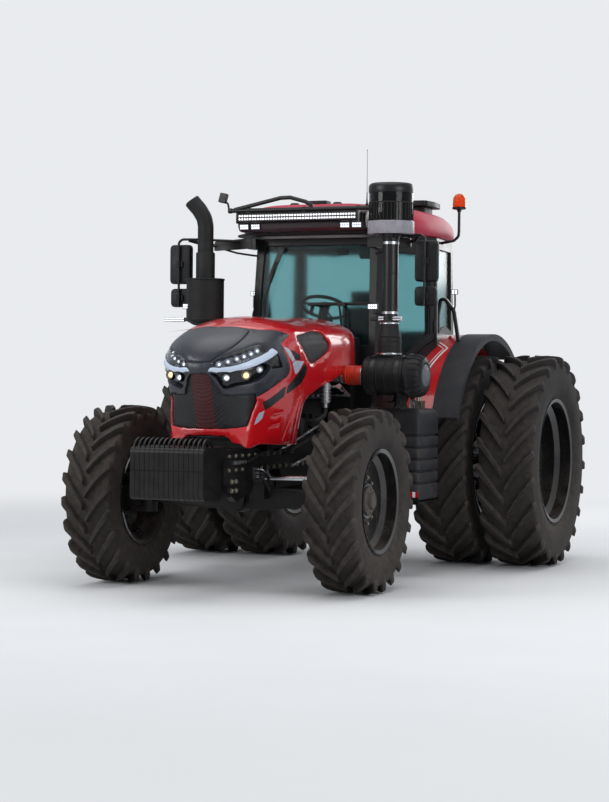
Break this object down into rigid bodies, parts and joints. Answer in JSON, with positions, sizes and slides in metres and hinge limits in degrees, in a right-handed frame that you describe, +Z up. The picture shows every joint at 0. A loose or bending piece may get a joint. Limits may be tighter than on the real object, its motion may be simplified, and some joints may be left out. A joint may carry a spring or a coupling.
{
  "type": "farm tractor",
  "caption": "Large row-crop farm tractor with an enclosed cab, twin rear wheels, steered lugged front wheels, front weights, side stacks and a rear three-point hitch.",
  "frame": {"origin": "on the ground under the middle of the tractor's bounding box", "axes": "+X to the tractor's left, +Y rearwards, +Z up; the nose looks along -Y"},
  "size_m": [3.73, 5.5702, 3.677],
  "materials": {
    "tyre": "matte",
    "wheel_black": "gloss",
    "body_red": "gloss",
    "cast_dark": "satin",
    "core_aluminium": "matte",
    "plastic_dark": "matte",
    "cab_glass": "gloss",
    "lamp_lens": "gloss",
    "chrome": "polished",
    "muffler_black": "matte",
    "roof_red": "gloss",
    "tube_black": "satin",
    "beacon_amber": "gloss",
    "seat_fabric": "matte",
    "hand_plastic": "matte"
  },
  "bodies": {
    "chassis": {"front_frame": "cast_dark", "weight_carrier": "cast_dark", "front_weights": "cast_dark", "front_axle": "cast_dark", "engine_block": "cast_dark", "cooling_pack": "core_aluminium", "transmission": "cast_dark", "side_boxes": "plastic_dark", "intake_pipe": "tube_black", "pre_cleaner": "plastic_dark", "air_cleaner": "plastic_dark", "intake_hose": "plastic_dark", "muffler": "muffler_black", "exhaust_pipe": "muffler_black", "cab_frame": "plastic_dark", "cab_glass": "cab_glass", "cab_floor": "plastic_dark", "roof": "roof_red", "roof_visor": "plastic_dark", "work_lamps": "tube_black", "roof_units": "tube_black", "roof_rail": "tube_black", "beacon": "beacon_amber", "mirrors": "plastic_dark", "fenders": "body_red", "fender_flares": "plastic_dark", "grab_loops": "plastic_dark", "seat": "seat_fabric", "console": "plastic_dark", "drawbar": "cast_dark", "hitch_frame": "cast_dark"},
    "bonnet": {"bonnet": "body_red", "nose_mask": "plastic_dark", "grilles": "plastic_dark", "headlamps": "lamp_lens", "lamp_strips": "chrome"},
    "door_left": {"door_left": "plastic_dark", "door_glass_left": "cab_glass"},
    "door_right": {"door_right": "plastic_dark", "door_glass_right": "cab_glass"},
    "rear_window": {"rear_window": "cab_glass"},
    "steering_wheel": {"steering_wheel": "hand_plastic"},
    "knuckle_left": {"knuckle_left": "cast_dark"},
    "knuckle_right": {"knuckle_right": "cast_dark"},
    "front_wheel_left": {"front_tyre_left": "tyre", "front_rim_left": "wheel_black"},
    "front_wheel_right": {"front_tyre_right": "tyre", "front_rim_right": "wheel_black"},
    "rear_wheels_left": {"rear_tyres_left": "tyre", "rear_rims_left": "wheel_black"},
    "rear_wheels_right": {"rear_tyres_right": "tyre", "rear_rims_right": "wheel_black"},
    "steering_rod": {"steering_rod": "cast_dark"},
    "lower_links": {"lower_links": "cast_dark"},
    "lift_arms": {"lift_arms": "cast_dark"},
    "lift_rods": {"lift_rods": "cast_dark"}
  },
  "joints": [
    {"name": "steer_left", "type": "hinge", "parent": "chassis", "child": "knuckle_left", "pos_m": [0.815, -1.435, 0.737], "axis": [0, 0, 1], "range_deg": [-35, 35]},
    {"name": "steer_right", "type": "hinge", "parent": "chassis", "child": "knuckle_right", "pos_m": [-0.815, -1.435, 0.737], "axis": [0, 0, 1], "range_deg": [-35, 35]},
    {"name": "front_wheel_left_spin", "type": "hinge", "parent": "knuckle_left", "child": "front_wheel_left", "pos_m": [1.045, -1.435, 0.737], "axis": [1, 0, 0], "continuous": true},
    {"name": "front_wheel_right_spin", "type": "hinge", "parent": "knuckle_right", "child": "front_wheel_right", "pos_m": [-1.045, -1.435, 0.737], "axis": [1, 0, 0], "continuous": true},
    {"name": "rear_wheels_left_spin", "type": "hinge", "parent": "chassis", "child": "rear_wheels_left", "pos_m": [0.98, 1.615, 0.967], "axis": [1, 0, 0], "continuous": true},
    {"name": "rear_wheels_right_spin", "type": "hinge", "parent": "chassis", "child": "rear_wheels_right", "pos_m": [-0.98, 1.615, 0.967], "axis": [1, 0, 0], "continuous": true},
    {"name": "steering_rod_slide", "type": "slide", "parent": "chassis", "child": "steering_rod", "axis": [1, 0, 0], "range_m": [-0.126, 0.126]},
    {"name": "steering_wheel_turn", "type": "hinge", "parent": "chassis", "child": "steering_wheel", "pos_m": [0, 0.285, 2.0813], "axis": [0, 0.4472, 0.8944], "range_deg": [-390, 390]},
    {"name": "bonnet_lift", "type": "hinge", "parent": "chassis", "child": "bonnet", "pos_m": [0, -0.03, 2.15], "axis": [-1, 0, 0], "range_deg": [0, 45]},
    {"name": "door_left_swing", "type": "hinge", "parent": "chassis", "child": "door_left", "pos_m": [0.858, 0.9575, 2.3], "axis": [0, 0, 1], "range_deg": [0, 60]},
    {"name": "door_right_swing", "type": "hinge", "parent": "chassis", "child": "door_right", "pos_m": [-0.858, 0.9575, 2.3], "axis": [0, 0, -1], "range_deg": [0, 60]},
    {"name": "rear_window_swing", "type": "hinge", "parent": "chassis", "child": "rear_window", "pos_m": [0, 1.67857, 2.893], "axis": [1, 0, 0], "range_deg": [0, 50]},
    {"name": "link_lift", "type": "hinge", "parent": "chassis", "child": "lower_links", "pos_m": [0, 1.965, 0.56], "axis": [1, 0, 0], "range_deg": [-10, 25]},
    {"name": "arm_lift", "type": "hinge", "parent": "chassis", "child": "lift_arms", "pos_m": [0, 1.985, 1.24], "axis": [1, 0, 0], "range_deg": [-15, 35]},
    {"name": "rod_swing", "type": "hinge", "parent": "lift_arms", "child": "lift_rods", "pos_m": [0, 2.315, 1.24], "axis": [1, 0, 0], "range_deg": [-35, 15]}
  ],
  "couplings": [
    {"joint": "steer_right", "follows": "steer_left", "ratio": 1},
    {"joint": "steering_rod_slide", "follows": "steer_left", "m_per_rad": 0.205},
    {"joint": "steering_wheel_turn", "follows": "steer_left", "ratio": 11},
    {"joint": "arm_lift", "follows": "link_lift", "ratio": 1.0606},
    {"joint": "rod_swing", "follows": "link_lift", "ratio": -1.0606}
  ]
}
